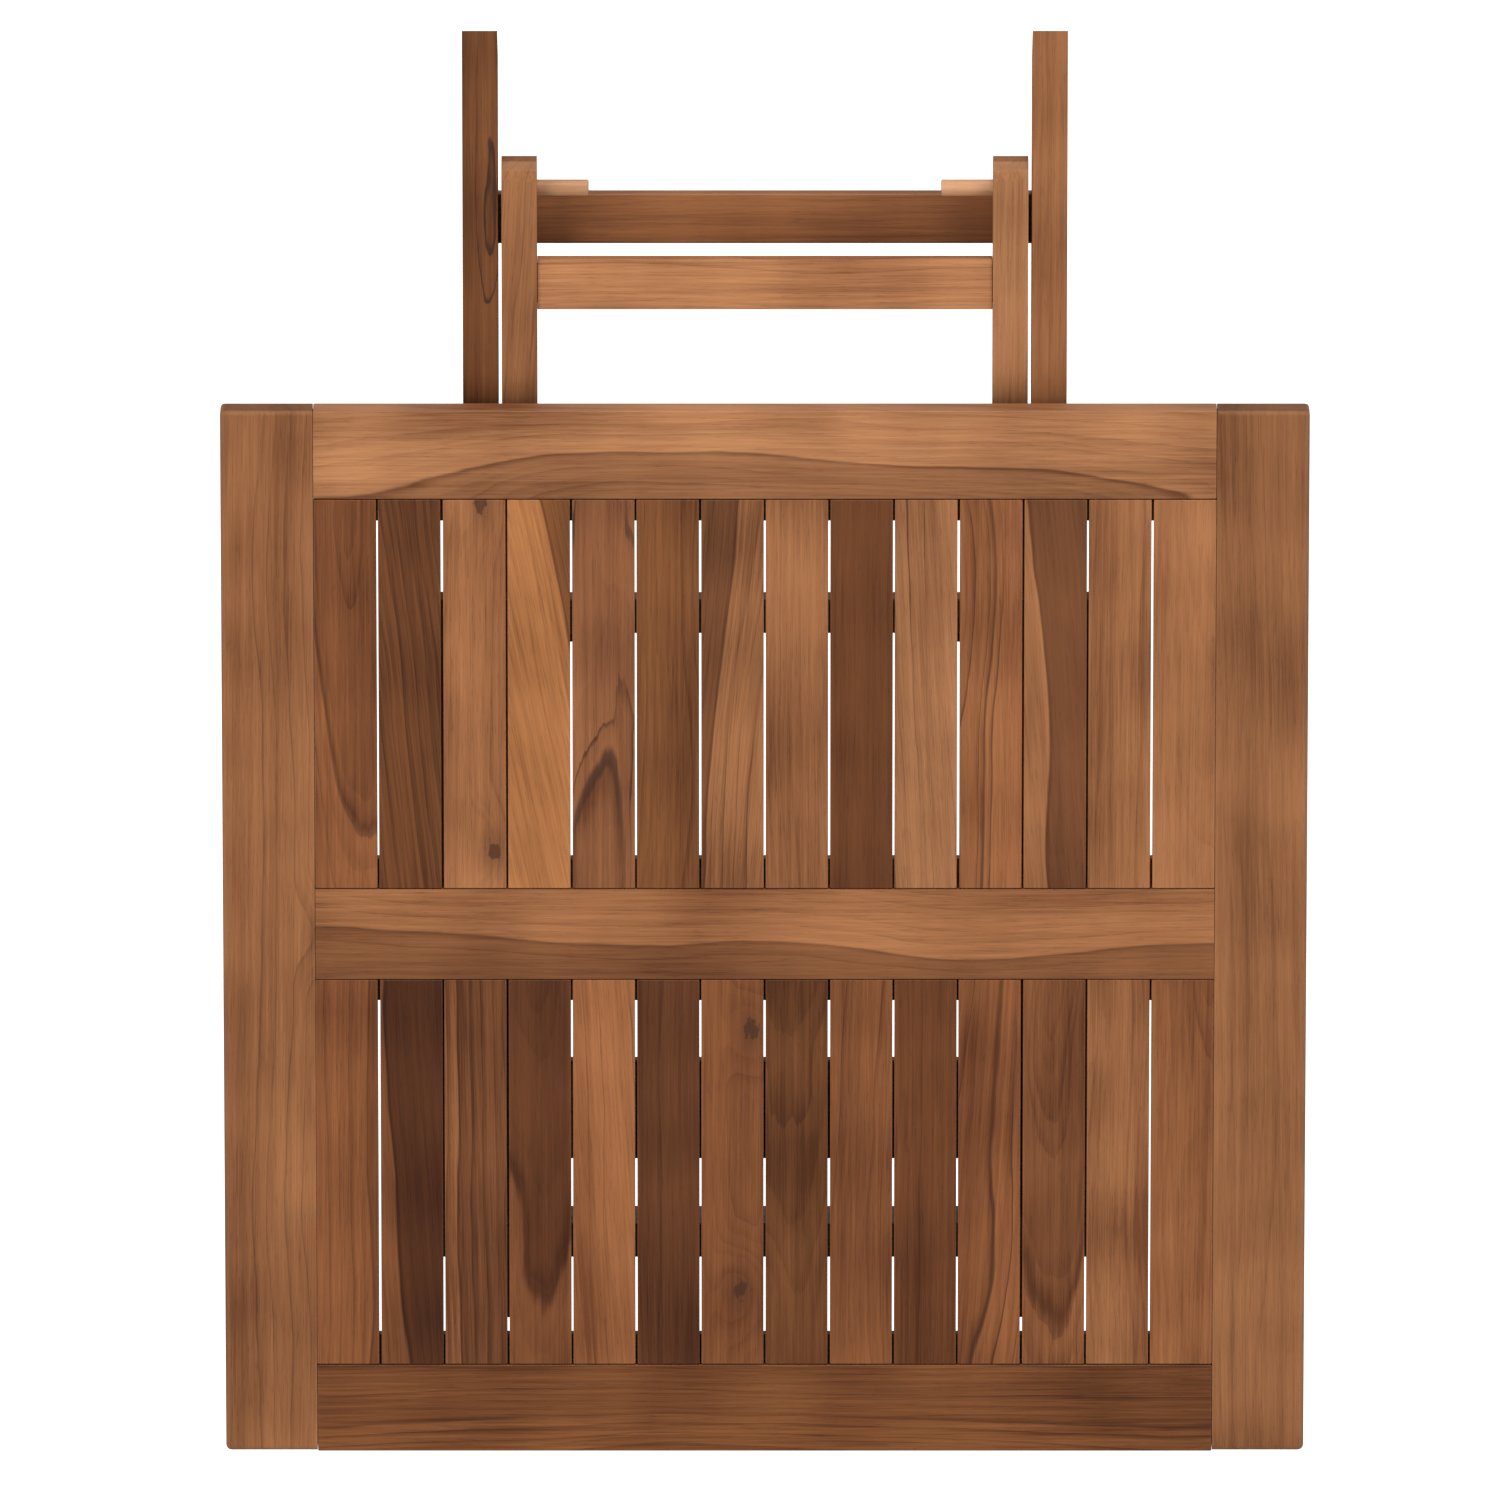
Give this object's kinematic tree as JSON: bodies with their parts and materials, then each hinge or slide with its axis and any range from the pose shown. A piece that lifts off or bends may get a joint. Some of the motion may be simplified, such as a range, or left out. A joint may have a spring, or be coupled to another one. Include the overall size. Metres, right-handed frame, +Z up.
{
  "type": "folding table",
  "caption": "Square slatted wooden table with two crossing leg frames that fold flat under the top; pegs under hooked keepers hold it open.",
  "frame": {"origin": "middle of the folded table's footprint, at its lowest point", "axes": "+Z up through the table top as it lies folded, +Y from the back edge of the top towards the feet that reach out past it, +X across the table"},
  "size_m": [0.8, 1.0766, 0.0868],
  "materials": {
    "teak_top": "sanded and oiled",
    "teak_frame": "sanded and oiled",
    "teak_keeper": "sanded",
    "teak_peg": "turned",
    "brass": "dulled"
  },
  "bodies": {
    "table_top": {"stile_left": "teak_top", "stile_right": "teak_top", "front_rail": "teak_top", "middle_rail": "teak_top", "back_rail": "teak_top", "slat_front_01": "teak_top", "slat_front_02": "teak_top", "slat_front_03": "teak_top", "slat_front_04": "teak_top", "slat_front_05": "teak_top", "slat_front_06": "teak_top", "slat_front_07": "teak_top", "slat_front_08": "teak_top", "slat_front_09": "teak_top", "slat_front_10": "teak_top", "slat_front_11": "teak_top", "slat_front_12": "teak_top", "slat_front_13": "teak_top", "slat_front_14": "teak_top", "slat_back_01": "teak_top", "slat_back_02": "teak_top", "slat_back_03": "teak_top", "slat_back_04": "teak_top", "slat_back_05": "teak_top", "slat_back_06": "teak_top", "slat_back_07": "teak_top", "slat_back_08": "teak_top", "slat_back_09": "teak_top", "slat_back_10": "teak_top", "slat_back_11": "teak_top", "slat_back_12": "teak_top", "slat_back_13": "teak_top", "slat_back_14": "teak_top", "runner_left": "teak_frame", "runner_right": "teak_frame", "cross_bar_front": "teak_frame", "cross_bar_back": "teak_frame", "peg_keeper_left": "teak_keeper", "peg_keeper_right": "teak_keeper", "hinge_bolt_left": "brass", "hinge_bolt_right": "brass", "hinge_nut_left": "brass", "hinge_nut_right": "brass"},
    "outer_leg_frame": {"outer_leg_left": "teak_frame", "outer_leg_right": "teak_frame", "outer_foot_stretcher": "teak_frame", "outer_hinge_stretcher": "teak_frame", "pivot_bolt_left": "brass", "pivot_bolt_right": "brass", "pivot_nut_left": "brass", "pivot_nut_right": "brass", "pivot_washer_left": "brass", "pivot_washer_right": "brass"},
    "inner_leg_frame": {"inner_leg_left": "teak_frame", "inner_leg_right": "teak_frame", "inner_peg_stretcher": "teak_frame", "inner_foot_stretcher": "teak_frame", "peg_left": "teak_peg", "peg_right": "teak_peg"}
  },
  "joints": [
    {"name": "leg_fold", "type": "hinge", "parent": "table_top", "child": "outer_leg_frame", "pos_m": [0, -0.32505, 0.028], "axis": [-1, 0, 0], "range_deg": [0, 55.5]},
    {"name": "leg_cross", "type": "hinge", "parent": "outer_leg_frame", "child": "inner_leg_frame", "pos_m": [0, 0.0453, 0.028], "axis": [1, 0, 0], "range_deg": [0, 111]}
  ],
  "couplings": [
    {"joint": "leg_cross", "follows": "leg_fold", "ratio": 2}
  ]
}
